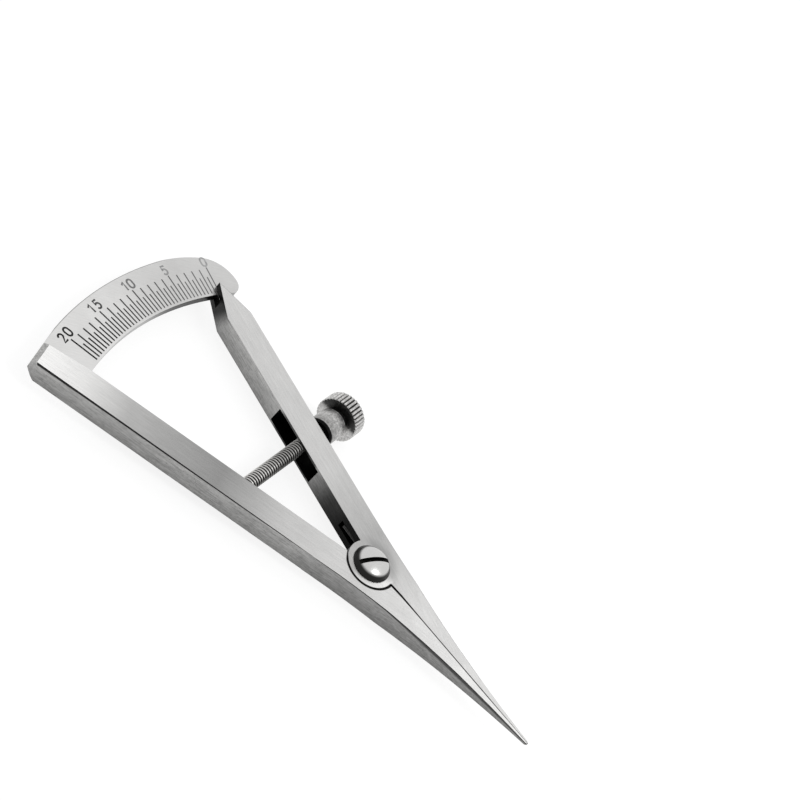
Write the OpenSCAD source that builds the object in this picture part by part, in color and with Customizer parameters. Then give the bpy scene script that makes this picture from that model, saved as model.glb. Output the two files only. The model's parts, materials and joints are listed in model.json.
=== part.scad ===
// Castroviejo caliper with straight tips: two lapped legs, a graduated arc
// and a thumb nut on a swivelling rod

/* [Legs] */
// Distance from the pivot axis to the measuring tips
tip_len = 35; // [33:0.5:38]
// Largest opening of the tips, read at the last graduation
reading_max = 20; // [18:0.5:21]
// Width of each upper leg
leg_w = 4.95; // [4.7:0.05:5.3]
// Thickness of each leg
leg_t = 3.72; // [3.6:0.04:4]
// Distance between the inner sides when the legs stand parallel
leg_gap = 1.1; // [0.9:0.05:1.4]
// Height along the leg at which the flank starts to curve in toward the tip
flank_start = 6.5; // [5:0.5:9]
// Width of one tip at its end
tip_w = 0.24; // [0.2:0.02:0.4]
// Thickness of the tips at their end
tip_t = 0.44; // [0.4:0.02:0.7]
// Distance below the pivot at which the faces start to taper
taper_start = 6.5; // [6:0.25:9]
// Space between the two closed tips
tip_gap = 0.08; // [0.06:0.01:0.16]
// Space between the legs just below the pivot, where the closed tips stand apart
root_gap = 0.34; // [0.24:0.02:0.4]
// Distance below the pivot at which that space has closed up
root_end = 14; // [12:0.5:16]
// Bevel on the end of the fixed leg, measured along the leg
end_bevel = 0.8; // [0.6:0.05:1]
// Depth of that bevel, measured from each face
end_depth = 0.3; // [0.2:0.02:0.4]
// Distance from the scale's outer edge back to the end of the fixed leg
end_back = 0.1; // [0.05:0.05:0.3]
// Length of the corner cut off the outer end of the fixed leg
end_corner = 1.05; // [0.8:0.05:1.2]
// Bevel along the outer edges of the fixed leg where it begins
edge_bevel = 0.1; // [0.08:0.02:0.2]
// The same bevel at the end of the leg
edge_bevel_end = 0.42; // [0.3:0.02:0.5]

/* [Pivot] */
// Radius of the two half-thickness discs that lap at the pivot
boss_r = 4.05; // [3.9:0.05:4.3]
// Space between a disc and the recess it turns in
boss_gap = 0.28; // [0.24:0.01:0.32]
// Space between the two lapped discs
lap_gap = 0.04; // [0.02:0.01:0.08]
// Radius of the pivot screw's shank
screw_r = 1.25; // [1.1:0.05:1.3]
// Running clearance of the shank in the moving leg
screw_fit = 0.04; // [0.02:0.01:0.08]
// Radius of the screw head
head_r = 3.1; // [2.9:0.05:3.3]
// Height of the screw head at its middle
head_h = 1.55; // [1.3:0.05:1.6]
// Height of the screw head at its rim
head_rim = 0.5; // [0.4:0.05:0.7]
// Width of the driver slot
slot_w = 0.72; // [0.5:0.04:0.9]
// Depth of the driver slot
slot_d = 0.85; // [0.6:0.05:1]
// Direction of the driver slot
slot_turn = -33; // [-90:1:90]
// Length of screw standing out at the rear
screw_out = 0.65; // [0.4:0.05:0.9]

/* [Spring] */
// Radius of the spring wire
wire_r = 0.33; // [0.3:0.01:0.36]
// Radius of the loop round the screw, to the middle of the wire
loop_r = 1.86; // [1.8:0.02:1.95]
// Distance from the pivot to the ends of the spring's arms
arm_len = 7.6; // [7:0.2:9]
// Free space kept round the wire
wire_gap = 0.32; // [0.28:0.01:0.36]

/* [Scale] */
// Inner radius of the graduated arc
scale_ri = 49.7; // [48.5:0.1:50.5]
// Outer radius of the graduated arc
scale_ro = 57.7; // [57:0.1:59]
// Thickness of the graduated arc
scale_t = 1.4; // [1.2:0.05:1.5]
// Depth to which the arc is let into the fixed leg
scale_root = 2.6; // [2:0.1:3]
// Radius of the rounded free end
scale_end_r = 5.75; // [5.6:0.05:5.9]
// Radius of the free end's inner corner
scale_corner_r = 1.9; // [1.6:0.1:2.1]
// Radius of the curve that leads the outer edge into the free end
blend_r = 24; // [22:0.5:26]
// Space between the arc and each cheek of the pointer fork
fork_gap = 0.1; // [0.08:0.01:0.15]
// Length of the pointer nose
nose_len = 6.4; // [5.8:0.1:6.8]
// Distance by which the pointer's nose reaches over the arc's inner edge
nose_over = 1.5; // [1.2:0.1:1.8]
// Seat clearance of a piece fixed in the leg
seat_fit = 0.01; // [0.01:0.01:0.02]

/* [Rod] */
// Radius over the rod's thread
rod_r = 1.22; // [1.16:0.02:1.26]
// Distance up the fixed leg to the rod's cross pin
pin_v = 22.9; // [22:0.1:24]
// Distance up the moving leg at which the rod crosses it
seat_v = 22.2; // [21.7:0.1:22.8]
// Radius of the cross pin
pin_r = 0.8; // [0.7:0.05:0.9]
// Running clearance of the eye on the pin
pin_fit = 0.04; // [0.02:0.01:0.08]
// Radius of the rod's flat eye
eye_r = 1.6; // [1.5:0.05:1.7]
// Thickness of the rod's flat eye
eye_t = 1.4; // [1.2:0.05:1.5]
// Space round the eye in its slot
rod_gap = 0.15; // [0.12:0.01:0.2]
// Width of the rod slot through the moving leg
rod_slot_t = 2.96; // [2.88:0.02:3.04]
// Half length of the rod slot where it opens on the moving leg's inner side
slot_half = 5.8; // [5.5:0.1:6]
// Half length of the rod slot where it opens on the moving leg's outer side
slot_half_out = 2.4; // [2.3:0.05:2.5]

/* [Nut] */
// Radius of the nut's plain hub
hub_r = 2.5; // [2.4:0.05:2.65]
// Length of the nut's plain hub
hub_len = 4.1; // [3.8:0.1:4.4]
// Bevel on the hub's bearing end
hub_bevel = 0.36; // [0.3:0.02:0.42]
// Radius of the neck between the hub and the wheel
neck_r = 2.05; // [2:0.05:2.2]
// Length of that neck
neck_len = 0.87; // [0.75:0.03:0.99]
// Radius over the knurl of the nut's wheel
wheel_r = 3.7; // [3.6:0.05:4]
// Width of the nut's wheel
wheel_w = 2.7; // [2.5:0.1:3.2]
// Radius of the spigot that carries the wheel
spigot_r = 1.8; // [1.7:0.05:1.9]
// Running clearance of the nut on the rod and of the wheel on its spigot
nut_fit = 0.05; // [0.03:0.01:0.08]
// Space left between the hub and the leg it bears on
hub_gap = 0.18; // [0.14:0.01:0.25]
// Bevel on the edges of the wheel
wheel_bevel = 0.2; // [0.15:0.05:0.3]

/* [Hidden] */
$fn = 96;
big = 200;
half_t = leg_t / 2;

// Half the angle between the legs: they stand parallel at the largest reading
leg_a = asin(reading_max / 2 / tip_len);
ca = cos(leg_a);
sa = sin(leg_a);
u_in = leg_gap / 2;
u_out = u_in + leg_w;
u_mid = u_in + leg_w / 2;

// A point of the moving leg's own frame (across, along) placed in the plane of the caliper
function in_leg(u, v) = [u * ca + v * sa, v * ca - u * sa];

// The hollow flank of a tip is one arc, tangent to the leg's outer side
flank_p = in_leg(u_out, flank_start);
flank_e = [tip_gap / 2 + tip_w, -tip_len];
flank_d = flank_e - flank_p;
flank_n = [ca, -sa];
flank_r = (flank_d * flank_d) / (2 * flank_d * flank_n);
flank_c = flank_p + flank_r * flank_n;

// Ends of the legs
fixed_end = scale_ro - end_back;
nose_r = scale_ri + nose_over;
nose_v = sqrt(nose_r * nose_r - u_mid * u_mid);
fork_v = nose_v - nose_len;
fork_t = scale_t + 2 * fork_gap;

// The scale's free end is a circle near the zero mark, tangent to the curve that leads into it
zero_a = leg_a + asin(u_mid / nose_r);
end_a = zero_a - 1.37;
blend_a = zero_a - 8.6;
blend_in = scale_ro - blend_r;
blend_across = blend_in * sin(end_a - blend_a);
end_rad = blend_in * cos(end_a - blend_a) + sqrt(pow(blend_r - scale_end_r, 2) - pow(blend_across, 2));
end_c = [end_rad * sin(end_a), end_rad * cos(end_a)];
blend_c = [blend_in * sin(blend_a), blend_in * cos(blend_a)];

// The free end's inner corner is a circle tangent to the inner edge and to the end circle
corner_rad = scale_ri + scale_corner_r;
corner_in = scale_end_r - scale_corner_r;
corner_cos = (end_rad * end_rad + corner_rad * corner_rad - corner_in * corner_in) / (2 * end_rad * corner_rad);
corner_a = end_a + acos(corner_cos);
corner_c = [corner_rad * sin(corner_a), corner_rad * cos(corner_a)];

// The rod runs from its pin to the point where it crosses the moving leg
pin_p = [-in_leg(u_mid, pin_v)[0], in_leg(u_mid, pin_v)[1]];
rod_d = in_leg(u_mid, seat_v) - pin_p;
rod_turn = atan2(rod_d[1], rod_d[0]);
rod_tilt = rod_turn + leg_a;
// The hub bears on the two strips beside the rod slot
bear_r = hub_r - hub_bevel;
bear_v = sqrt(bear_r * bear_r - rod_slot_t * rod_slot_t / 4);
hub_s = (u_out - pin_p * flank_n + bear_v * abs(sin(rod_tilt))) / cos(rod_tilt) + hub_gap;
wheel_s = hub_len + neck_len;
neck_s = (leg_w / 2 + rod_gap + rod_r * sin(leg_a - rod_turn)) / cos(leg_a - rod_turn);
bore_d = 0.5;
rod_len = hub_s + wheel_s + wheel_w - bore_d + 0.2;

// The rod slot is the plunge of a round cutter from the inner side
cut_x = (leg_w * leg_w + slot_half_out * slot_half_out - slot_half * slot_half) / (2 * leg_w);
cut_r = sqrt(cut_x * cut_x + slot_half * slot_half);

// Place of the pivot: the origin lies under the middle of the caliper, at its lowest level
reach_right = end_c[0] + scale_end_r;
reach_left = in_leg(u_out, fixed_end - end_corner)[0];
pivot_pos = [(reach_left - reach_right) / 2, (tip_len - scale_ro) / 2, wheel_r];

// The spring's path: one arm, the loop under the screw, the other arm
arm_in = wire_r + 0.07;
arm_e = in_leg(u_in + arm_in, arm_len);
arm_d = norm(arm_e);
arm_a = atan2(arm_e[1], arm_e[0]) - acos(loop_r / arm_d);
loop_steps = 24;
arm_steps = 6;
arm_s = [loop_r * cos(arm_a), loop_r * sin(arm_a)];
path = concat(
    [for (i = [0:arm_steps - 1]) arm_e + (arm_s - arm_e) * i / arm_steps],
    [for (i = [0:loop_steps]) let (a = arm_a - (180 + 2 * arm_a) * i / loop_steps)
        loop_r * [cos(a), sin(a)]],
    [for (i = [arm_steps - 1:-1:0]) let (p = arm_e + (arm_s - arm_e) * i / arm_steps) [-p[0], p[1]]]);
wire_sides = 10;
self_gap = 2 * loop_r * cos(arm_a) - 2 * wire_r;
echo(spring_least_gap_to_itself = self_gap);

// Half of the caliper: one leg with its tip, full thickness, right of the middle line
module leg_blank(end_v) {
    top_i = in_leg(u_in, end_v);
    top_o = in_leg(u_out, end_v);
    intersection() {
        difference() {
            linear_extrude(leg_t, center = true)
                polygon([
                    top_i, top_o, flank_p,
                    [flank_p[0], -tip_len],
                    [tip_gap / 2, -tip_len],
                    [tip_gap / 2, -root_end],
                    [root_gap / 2, -boss_r],
                    [root_gap / 2, 0],
                    [u_in / ca, 0]]);
            translate([flank_c[0], flank_c[1], 0])
                cylinder(r = flank_r, h = leg_t + 2, center = true, $fn = 360);
        }
        rotate([90, 0, 90])
            linear_extrude(big, center = true)
                polygon([
                    [big, half_t], [-taper_start, half_t],
                    [-tip_len, tip_t / 2], [-tip_len, -tip_t / 2],
                    [-taper_start, -half_t], [big, -half_t]]);
    }
}

// Works in a leg's own frame: across is X, along is Y
module leg_frame() {
    rotate([0, 0, -leg_a])
        children();
}

// The pocket that holds the spring at mid-thickness, open to the space between the legs
module spring_pocket() {
    pocket_t = 2 * (wire_r + wire_gap);
    pocket_r = loop_r + wire_r + wire_gap;
    cylinder(r = pocket_r, h = pocket_t, center = true);
    for (m = [0, 1])
        mirror([m, 0, 0])
            linear_extrude(pocket_t, center = true)
                polygon([
                    [0, 0],
                    in_leg(pocket_r, 0),
                    in_leg(pocket_r, 3),
                    in_leg(u_in + arm_in + wire_r + wire_gap, arm_len + 0.6),
                    in_leg(u_in - 0.5, arm_len + 0.6),
                    [0, arm_len + 0.6]]);
}

// One leg with its own half disc on the front and the recess for the other disc at the rear
module lapped_leg(end_v) {
    difference() {
        leg_blank(end_v);
        translate([0, 0, lap_gap / 2 - leg_t])
            cylinder(r = boss_r + boss_gap, h = leg_t);
    }
    translate([0, 0, lap_gap / 2])
        cylinder(r = boss_r, h = half_t - lap_gap / 2);
}

module fixed_leg() {
    color("silver")
    translate(pivot_pos)
    difference() {
        rotate([0, 180, 0])
            lapped_leg(fixed_end);
        cylinder(r = screw_r + seat_fit, h = leg_t + 2, center = true);
        spring_pocket();
        mirror([1, 0, 0]) leg_frame() {
            scale_slot();
            fixed_end_cuts();
            eye_slot();
            translate([u_mid, pin_v, 0])
                cylinder(r = pin_r + seat_fit, h = leg_t + 2, center = true, $fn = 48);
        }
    }
}

// The slot in the fixed leg's end that takes the root of the scale
module scale_slot() {
    difference() {
        translate([u_in - 2, scale_ri - 3, -scale_t / 2 - seat_fit])
            cube([scale_root + 2 + seat_fit, big, scale_t + 2 * seat_fit]);
        cylinder(r = scale_ri - seat_fit, h = leg_t, center = true, $fn = 240);
    }
}

// Bevelled end, cut corner and bevelled outer edges of the fixed leg
module fixed_end_cuts() {
    strip_v = flank_start + 2;
    strip_tilt = atan((edge_bevel_end - edge_bevel) / sqrt(2) / (fixed_end - strip_v));
    linear_extrude(leg_t + 2, center = true)
        polygon([
            [u_in, scale_ri + 0.3], [u_in + 0.75, fixed_end + 1],
            [u_in - 2, fixed_end + 1]]);
    linear_extrude(leg_t + 2, center = true)
        polygon([
            [u_out + 0.1, fixed_end - end_corner - 0.1],
            [u_out - end_corner - 1, fixed_end + 1], [u_out + 2, fixed_end + 1]]);
    for (m = [0, 1])
        mirror([0, 0, m]) {
            translate([0, fixed_end, half_t - end_depth])
                rotate([-atan2(end_depth, end_bevel), 0, 0])
                    translate([-1, -4, 0])
                        cube([leg_w + 4, 8, 3]);
            translate([u_out, strip_v, half_t - edge_bevel])
                rotate([0, 45, 0])
                    rotate([-strip_tilt, 0, 0])
                        translate([-3, 0, 0])
                            cube([6, big, 3]);
        }
}

// The blind slot in the fixed leg's inner side, in which the rod's eye swings
module eye_slot() {
    slot_t = eye_t + 2 * rod_gap;
    wide = eye_r + 0.35;
    translate([u_mid, pin_v, 0]) {
        cylinder(r = wide, h = slot_t, center = true, $fn = 64);
        translate([-leg_w, -wide, -slot_t / 2])
            cube([leg_w, 2 * wide, slot_t]);
    }
}

module moving_leg() {
    color("lightgray")
    translate(pivot_pos)
    difference() {
        lapped_leg(nose_v);
        cylinder(r = screw_r + screw_fit, h = leg_t + 2, center = true);
        spring_pocket();
        leg_frame() {
            nose_cuts();
            translate([u_in - big, scale_ri - 4.2, -fork_t / 2])
                cube([2 * big, big, fork_t]);
            translate([u_in + cut_x, seat_v, 0])
                cylinder(r = cut_r, h = rod_slot_t, center = true);
        }
    }
}

// The two slanting cuts that bring the fork to a pointer
module nose_cuts() {
    linear_extrude(leg_t + 2, center = true)
        polygon([
            [u_in, fork_v], [u_mid, nose_v], [u_mid, nose_v + 5],
            [u_in - 5, nose_v], [u_in - 5, fork_v]]);
    linear_extrude(leg_t + 2, center = true)
        polygon([
            [u_out, fork_v], [u_mid, nose_v], [u_mid, nose_v + 5],
            [u_out + 5, nose_v], [u_out + 5, fork_v]]);
}

module scale_arc() {
    color("gainsboro")
    translate(pivot_pos)
    intersection() {
        difference() {
            cylinder(r = scale_ro, h = scale_t, center = true, $fn = 240);
            cylinder(r = scale_ri, h = scale_t + 1, center = true, $fn = 240);
            scale_corner();
        }
        rotate([0, 0, -blend_a])
            translate([0, scale_ro - blend_r, 0])
                scale_blend();
        union() {
            translate([end_c[0], end_c[1], 0])
                cylinder(r = scale_end_r, h = scale_t + 1, center = true);
            linear_extrude(scale_t + 1, center = true)
                polygon([
                    [0, 0], end_c, end_c + 12 / norm(end_c - blend_c) * (end_c - blend_c),
                    [-big, big], [-big, 0]]);
        }
        mirror([1, 0, 0])
            leg_frame()
                translate([u_in + scale_root - 2 * big, 0, -big / 2])
                    cube([2 * big, fixed_end, big]);
    }
}

// What lies outside the rounded inner corner of the free end
module scale_corner() {
    out = 6 / corner_in * (corner_c - end_c);
    down = -6 / corner_rad * corner_c;
    linear_extrude(scale_t + 1, center = true)
        difference() {
            polygon([corner_c, corner_c + out, corner_c + out + down, corner_c + down]);
            translate(corner_c)
                circle(r = scale_corner_r, $fn = 64);
        }
}

// Everything left of the blend's middle, and the blend's own circle right of it
module scale_blend() {
    cylinder(r = blend_r, h = scale_t + 1, center = true, $fn = 180);
    translate([-big, -big / 2, -scale_t])
        cube([big, big, 2 * scale_t]);
}

module pivot_screw() {
    dome_r = (head_r * head_r + pow(head_h - head_rim, 2)) / (2 * (head_h - head_rim));
    end_dome = 0.35;
    end_r = (screw_r * screw_r + end_dome * end_dome) / (2 * end_dome);
    color("white")
    translate(pivot_pos) {
        difference() {
            intersection() {
                translate([0, 0, half_t + lap_gap / 2])
                    cylinder(r = head_r, h = head_h);
                translate([0, 0, half_t + lap_gap / 2 + head_h - dome_r])
                    sphere(r = dome_r, $fn = 120);
            }
            rotate([0, 0, slot_turn])
                translate([-big / 2, -slot_w / 2, half_t + lap_gap / 2 + head_h - slot_d])
                    cube([big, slot_w, 4]);
        }
        intersection() {
            translate([0, 0, -half_t - screw_out])
                cylinder(r = screw_r, h = leg_t + screw_out + lap_gap);
            translate([0, 0, end_r - half_t - screw_out])
                sphere(r = end_r, $fn = 96);
            }
        translate([0, 0, -half_t])
            cylinder(r = screw_r, h = leg_t + lap_gap);
    }
}

module pivot_spring() {
    n = len(path);
    ring = [for (i = [0:n - 1])
        let (t = path[min(i + 1, n - 1)] - path[max(i - 1, 0)], d = t / norm(t))
        for (k = [0:wire_sides - 1])
            let (a = 360 * k / wire_sides)
            [path[i][0] - d[1] * wire_r * cos(a), path[i][1] + d[0] * wire_r * cos(a), wire_r * sin(a)]];
    faces = concat(
        [[for (k = [0:wire_sides - 1]) k]],
        [for (i = [0:n - 2]) for (k = [0:wire_sides - 1]) let (j = (k + 1) % wire_sides)
            [i * wire_sides + j, i * wire_sides + k, (i + 1) * wire_sides + k, (i + 1) * wire_sides + j]],
        [[for (k = [wire_sides - 1:-1:0]) (n - 1) * wire_sides + k]]);
    color("dimgray")
    translate(pivot_pos)
        polyhedron(points = ring, faces = faces);
}

// Works in the rod's own frame: along the rod is X, from the pin
module rod_frame() {
    translate(pivot_pos)
        translate([pin_p[0], pin_p[1], 0])
            rotate([0, 0, rod_turn])
                children();
}

module adjusting_rod() {
    color("gray")
    rod_frame()
    difference() {
        union() {
            cylinder(r = eye_r, h = eye_t, center = true, $fn = 64);
            translate([0, -rod_r * 0.9, -eye_t / 2])
                cube([neck_s + 0.5, rod_r * 1.8, eye_t]);
            translate([neck_s, 0, 0])
                rotate([0, 90, 0])
                    cylinder(r = rod_r, h = rod_len - neck_s, $fn = 64);
        }
        cylinder(r = pin_r + pin_fit, h = eye_t + 2, center = true, $fn = 48);
    }
}

module rod_pin() {
    color("darkgray")
    translate(pivot_pos)
        translate([pin_p[0], pin_p[1], 0])
            cylinder(r = pin_r, h = leg_t, center = true, $fn = 48);
}

// Turned about the rod: the profile's second value runs along the rod from the hub's bearing face
module turned() {
    rod_frame()
        translate([hub_s, 0, 0])
            rotate([0, 90, 0])
                rotate_extrude()
                    children();
}

module nut_hub() {
    top = wheel_s + wheel_w - bore_d;
    color("whitesmoke")
    turned()
        polygon([
            [rod_r + nut_fit, 0], [bear_r, 0], [hub_r, hub_bevel], [hub_r, hub_len],
            [neck_r, hub_len], [neck_r, wheel_s], [spigot_r, wheel_s], [spigot_r, top],
            [rod_r + nut_fit, top]]);
}

module knurled_wheel() {
    low = wheel_s + lap_gap;
    top = wheel_s + wheel_w;
    bore = spigot_r + nut_fit;
    color("white")
    turned()
        polygon([
            [bore, low], [wheel_r - wheel_bevel, low], [wheel_r, low + wheel_bevel],
            [wheel_r, top - wheel_bevel], [wheel_r - wheel_bevel, top], [bore + 0.5, top],
            [bore + 0.5, top - bore_d / 2], [bore, top - bore_d / 2]]);
}

fixed_leg();
scale_arc();
moving_leg();
pivot_screw();
pivot_spring();
adjusting_rod();
rod_pin();
nut_hub();
knurled_wheel();
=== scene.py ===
import bmesh
import bpy
import json
import math
from mathutils import Matrix, Vector


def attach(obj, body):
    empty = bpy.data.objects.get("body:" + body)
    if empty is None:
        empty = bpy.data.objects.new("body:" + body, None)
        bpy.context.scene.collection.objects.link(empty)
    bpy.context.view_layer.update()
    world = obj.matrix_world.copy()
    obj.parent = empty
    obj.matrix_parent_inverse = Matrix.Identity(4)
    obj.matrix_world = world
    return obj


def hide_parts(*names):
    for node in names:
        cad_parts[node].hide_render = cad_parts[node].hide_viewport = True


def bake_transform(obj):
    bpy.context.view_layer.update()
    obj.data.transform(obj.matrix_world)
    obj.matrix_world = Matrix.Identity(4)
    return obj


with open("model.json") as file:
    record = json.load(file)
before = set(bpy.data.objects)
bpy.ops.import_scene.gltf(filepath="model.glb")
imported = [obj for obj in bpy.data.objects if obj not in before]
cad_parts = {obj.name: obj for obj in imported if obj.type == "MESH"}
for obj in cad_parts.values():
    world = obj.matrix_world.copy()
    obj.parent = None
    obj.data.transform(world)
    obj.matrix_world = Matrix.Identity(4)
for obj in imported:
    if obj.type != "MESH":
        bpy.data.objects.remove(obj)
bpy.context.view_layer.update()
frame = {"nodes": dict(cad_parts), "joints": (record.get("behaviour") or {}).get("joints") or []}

# Sizes in millimetres, measured from the pivot at mid-thickness.
# Places closer than NEAR count as one, and points closer than SLIVER are merged.
MM = 0.001
NEAR = 0.02
SLIVER = 0.002

# Legs: U runs across a leg and V along it
FIXED = -1
MOVING = 1
READING_MAX = 20
TIP_LEN = 35.0
LEG_A = math.asin(READING_MAX / 2 / TIP_LEN)
U_IN = 0.55
U_OUT = 5.5
U_MID = (U_IN + U_OUT) / 2
HALF_T = 1.86
INNER_T = 1.52
TIP_HALF_T = 0.22
TIP_GAP = 0.08
TIP_SLOPE = 1.3
TAPER_START = 6.5
TAPER = (HALF_T - TIP_HALF_T) / (TIP_LEN - TAPER_START)
THIN_Y = -18.0
LEG_ROUND = 0.09
TIP_SHARE = 0.3
STRIP_SHARE = 0.35
LAP_GAP = 0.04
BOSS_R = 4.05
BOSS_GAP = 0.28
FORK_FLOOR_V = 45.5
FORK_SEEN_V = 48.2
FIXED_END = 57.6
FACE_END = FIXED_END - 0.8
CORNER_U = 5.13
CORNER_V = 56.92
CORNER_Z = 1.81
CORNER_WAY = Vector((0.486, 0.555, -0.675))
CORNER_CUT = 0.55

# Bevel along the fixed leg's outer edges: its widths at its start and end, in the solid and as seen
STRIP_V = 8.5
STRIP_R = math.hypot(U_OUT, STRIP_V)
SOLID_STRIP = (0.1, 0.415)
SEEN_STRIP = (0.07, 0.25)
SEEN_DROP = 0.24

# Scale
SCALE_RI = 49.7
SCALE_RO = 57.7
SCALE_FACE = 0.7
SCALE_ROUND = 0.1
NOSE_R = 51.2
ZERO_A = LEG_A + math.asin(U_MID / NOSE_R)
MARK_ROOT = 50.1
MARK_H = 0.012

# Screw, with its crown, the steeper shoulder under it, and its slot
HEAD_R = 3.1
HEAD_H = 1.55
HEAD_RIM = 0.5
HEAD_BEVEL = 0.12
CROWN_R = 2.35
CROWN_DROP = 0.02
SHOULDER_STEP = 0.09
SHOULDER_STEPS = 8
SHOULDER_SLOPE = 31
SHOULDER_BEND = 4.2
SCREW_R = 1.25
SCREW_OUT = 0.65
SCREW_CROWN = 0.35
SLOT_W = 0.72
SLOT_D = 0.85
SLOT_TURN = math.radians(-33)
SLOT_ROUND = 0.06

# Spring
WIRE_R = 0.33
LOOP_R = 1.86
ARM_LEN = 7.6
ARM_IN = WIRE_R + 0.07

# Rod, its flat eye and its pin
ROD_R = 1.22
ROD_PITCH = 0.55
THREAD_D = 0.25
ROD_OUT = 0.2
NECK_S = 3.2
NECK_LAP = 0.4
EYE_R = 1.6
EYE_T = 1.4
EYE_ROUND = 0.08
PIN_HOLE_R = 0.84
PIN_FILL = 0.81 / 0.8

# Nut: the bush starts at its bearing face, and the wheel starts WHEEL_S from it
HUB_R = 2.5
HUB_LEN = 4.1
HUB_BEVEL = 0.36
HUB_NECK_R = 2.05
WHEEL_S = 4.97
WHEEL_R = 3.7
WHEEL_W = 2.7
WHEEL_BEVEL = 0.1
SPIGOT_R = 1.8
SPIGOT_BEVEL = 0.15
NUT_FIT = 0.05
BORE_D = 0.5
BORE_BEVEL = 0.22
STEP_W = 0.5
TEETH = 36
TOOTH_SIDES = 8
TOOTH_D = 0.3

# The photograph's view: from a place, toward a point in the legs' middle plane, rolled in degrees
CAMERA_PLACE = Vector((-202.80, 0.44, 207.69))
CAMERA_AIM = Vector((31.63, 16.12, 0.0))
CAMERA_ROLL = 44.4


def joint(name):
    """A joint of the frame, by name."""
    return next(j for j in frame["joints"] if j["name"] == name)


PIVOT = Vector(joint("leg_hinge")["pos_m"])
PIN = (Vector(joint("rod_swivel")["pos_m"]) - PIVOT) / MM
WHEEL_MIDDLE = (Vector(joint("nut_spin")["pos_m"]) - PIVOT) / MM
HUB_S = (WHEEL_MIDDLE - PIN).length - WHEEL_S - WHEEL_W / 2
ROD_LEN = HUB_S + WHEEL_S + WHEEL_W - BORE_D + ROD_OUT
ROD_DIR = -Vector(joint("nut_travel")["axis"]).normalized()

# From the rod's own plane, and from a turned piece's own axis Z, to the rod's place in the frame
EYE_FRAME = Matrix.Translation(PIN) @ Matrix.Rotation(math.atan2(ROD_DIR.y, ROD_DIR.x), 4, "Z")
ROD_FRAME = EYE_FRAME @ Matrix.Rotation(math.pi / 2, 4, "Y")
HUB_FRAME = ROD_FRAME @ Matrix.Translation((0, 0, HUB_S))


class Value:
    """A node's output that takes part in arithmetic."""

    def __init__(self, graph, node, socket):
        self.graph, self.node, self.socket = graph, node, socket

    def other(self, name):
        """Another output of the same node."""
        return Value(self.graph, self.node, self.node.outputs[name])

    def math(self, operation, *others, clamp=False):
        """A Math node of this value and others."""
        sockets = dict(enumerate((self,) + others))
        return self.graph.node("ShaderNodeMath", {"operation": operation, "use_clamp": clamp}, sockets)

    def __add__(self, other):
        return self.math("ADD", other)

    __radd__ = __add__

    def __mul__(self, other):
        return self.math("MULTIPLY", other)

    __rmul__ = __mul__

    def __sub__(self, other):
        return self.math("SUBTRACT", other)

    def __rsub__(self, other):
        return self.graph.node("ShaderNodeMath", {"operation": "SUBTRACT"}, {0: other, 1: self})

    def __truediv__(self, other):
        return self.math("DIVIDE", other)

    def __pow__(self, other):
        return self.math("POWER", other)

    def __lt__(self, other):
        return self.math("LESS_THAN", other)

    def __gt__(self, other):
        return self.math("GREATER_THAN", other)

    def __mod__(self, other):
        return self.math("FLOORED_MODULO", other)

    def __abs__(self):
        return self.math("ABSOLUTE")

    def clamped(self):
        """Held between 0 and 1."""
        return self.math("ADD", 0.0, clamp=True)

    def step(self, low, high):
        """0 below low, 1 above high, smooth between; low may be the larger."""
        return self.graph.node(
            "ShaderNodeMapRange", {"interpolation_type": "SMOOTHSTEP"},
            {"Value": self, "From Min": low, "From Max": high})

    def swing(self, amount):
        """A noise's departure from its middle, times an amount."""
        return (self - 0.5) * amount


class Graph:
    """A node tree whose nodes are made by one method."""

    def __init__(self, tree):
        self.tree = tree

    def node(self, kind, settings=None, sockets=None, out=0):
        """A new node with its settings, then its sockets' values or links; out names the output used."""
        made = self.tree.nodes.new(kind)
        for key, value in (settings or {}).items():
            if key == "stops":
                while len(made.color_ramp.elements) < len(value):
                    made.color_ramp.elements.new(0.5)
                for element, (place, level) in zip(made.color_ramp.elements, value):
                    element.position = place
                    element.color = (level, level, level, 1)
            else:
                setattr(made, key, value)
        for key, value in (sockets or {}).items():
            if isinstance(value, Value):
                self.tree.links.new(value.socket, made.inputs[key])
            else:
                made.inputs[key].default_value = value
        return Value(self, made, made.outputs[out]) if made.outputs else made

    def vector(self, x, y, z=0.0):
        return self.node("ShaderNodeCombineXYZ", None, {0: x, 1: y, 2: z})

    def noise(self, vector, scale, detail, rough):
        return self.node(
            "ShaderNodeTexNoise", None,
            {"Vector": vector, "Scale": scale, "Detail": detail, "Roughness": rough})

    def streaks(self, axes, counts, detail, rough):
        """Noise drawn out along a grain: counts are its patches to a millimetre along each axis."""
        drawn = self.vector(*(axis * count for axis, count in zip(axes, counts)))
        return self.noise(drawn, 1.0, detail, rough)

    def ramp(self, value, stops):
        return self.node("ShaderNodeValToRGB", {"stops": stops}, {0: value})

    def blend(self, factor, a, b):
        """Mix of two colours."""
        return self.node("ShaderNodeMix", {"data_type": "RGBA"}, {0: factor, 6: (*a, 1), 7: (*b, 1)}, out=2)

    def shade(self, level, tint):
        """A tint at a level between black and full."""
        return self.blend(level, (0, 0, 0), tint)

    def place(self):
        """Object coordinates in millimetres from the pivot: x, y, z and the vector."""
        coords = self.node("ShaderNodeTexCoord", None, None, out="Object")
        scaled = self.node(
            "ShaderNodeVectorMath", {"operation": "MULTIPLY_ADD"},
            {0: coords, 1: (1 / MM,) * 3, 2: tuple(-PIVOT / MM)})
        x = self.node("ShaderNodeSeparateXYZ", None, {0: scaled})
        return x, x.other("Y"), x.other("Z"), scaled


def empty_graph(owner):
    """The graph of a material or a world, with no nodes yet."""
    owner.use_nodes = True
    owner.node_tree.nodes.clear()
    return Graph(owner.node_tree)


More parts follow.
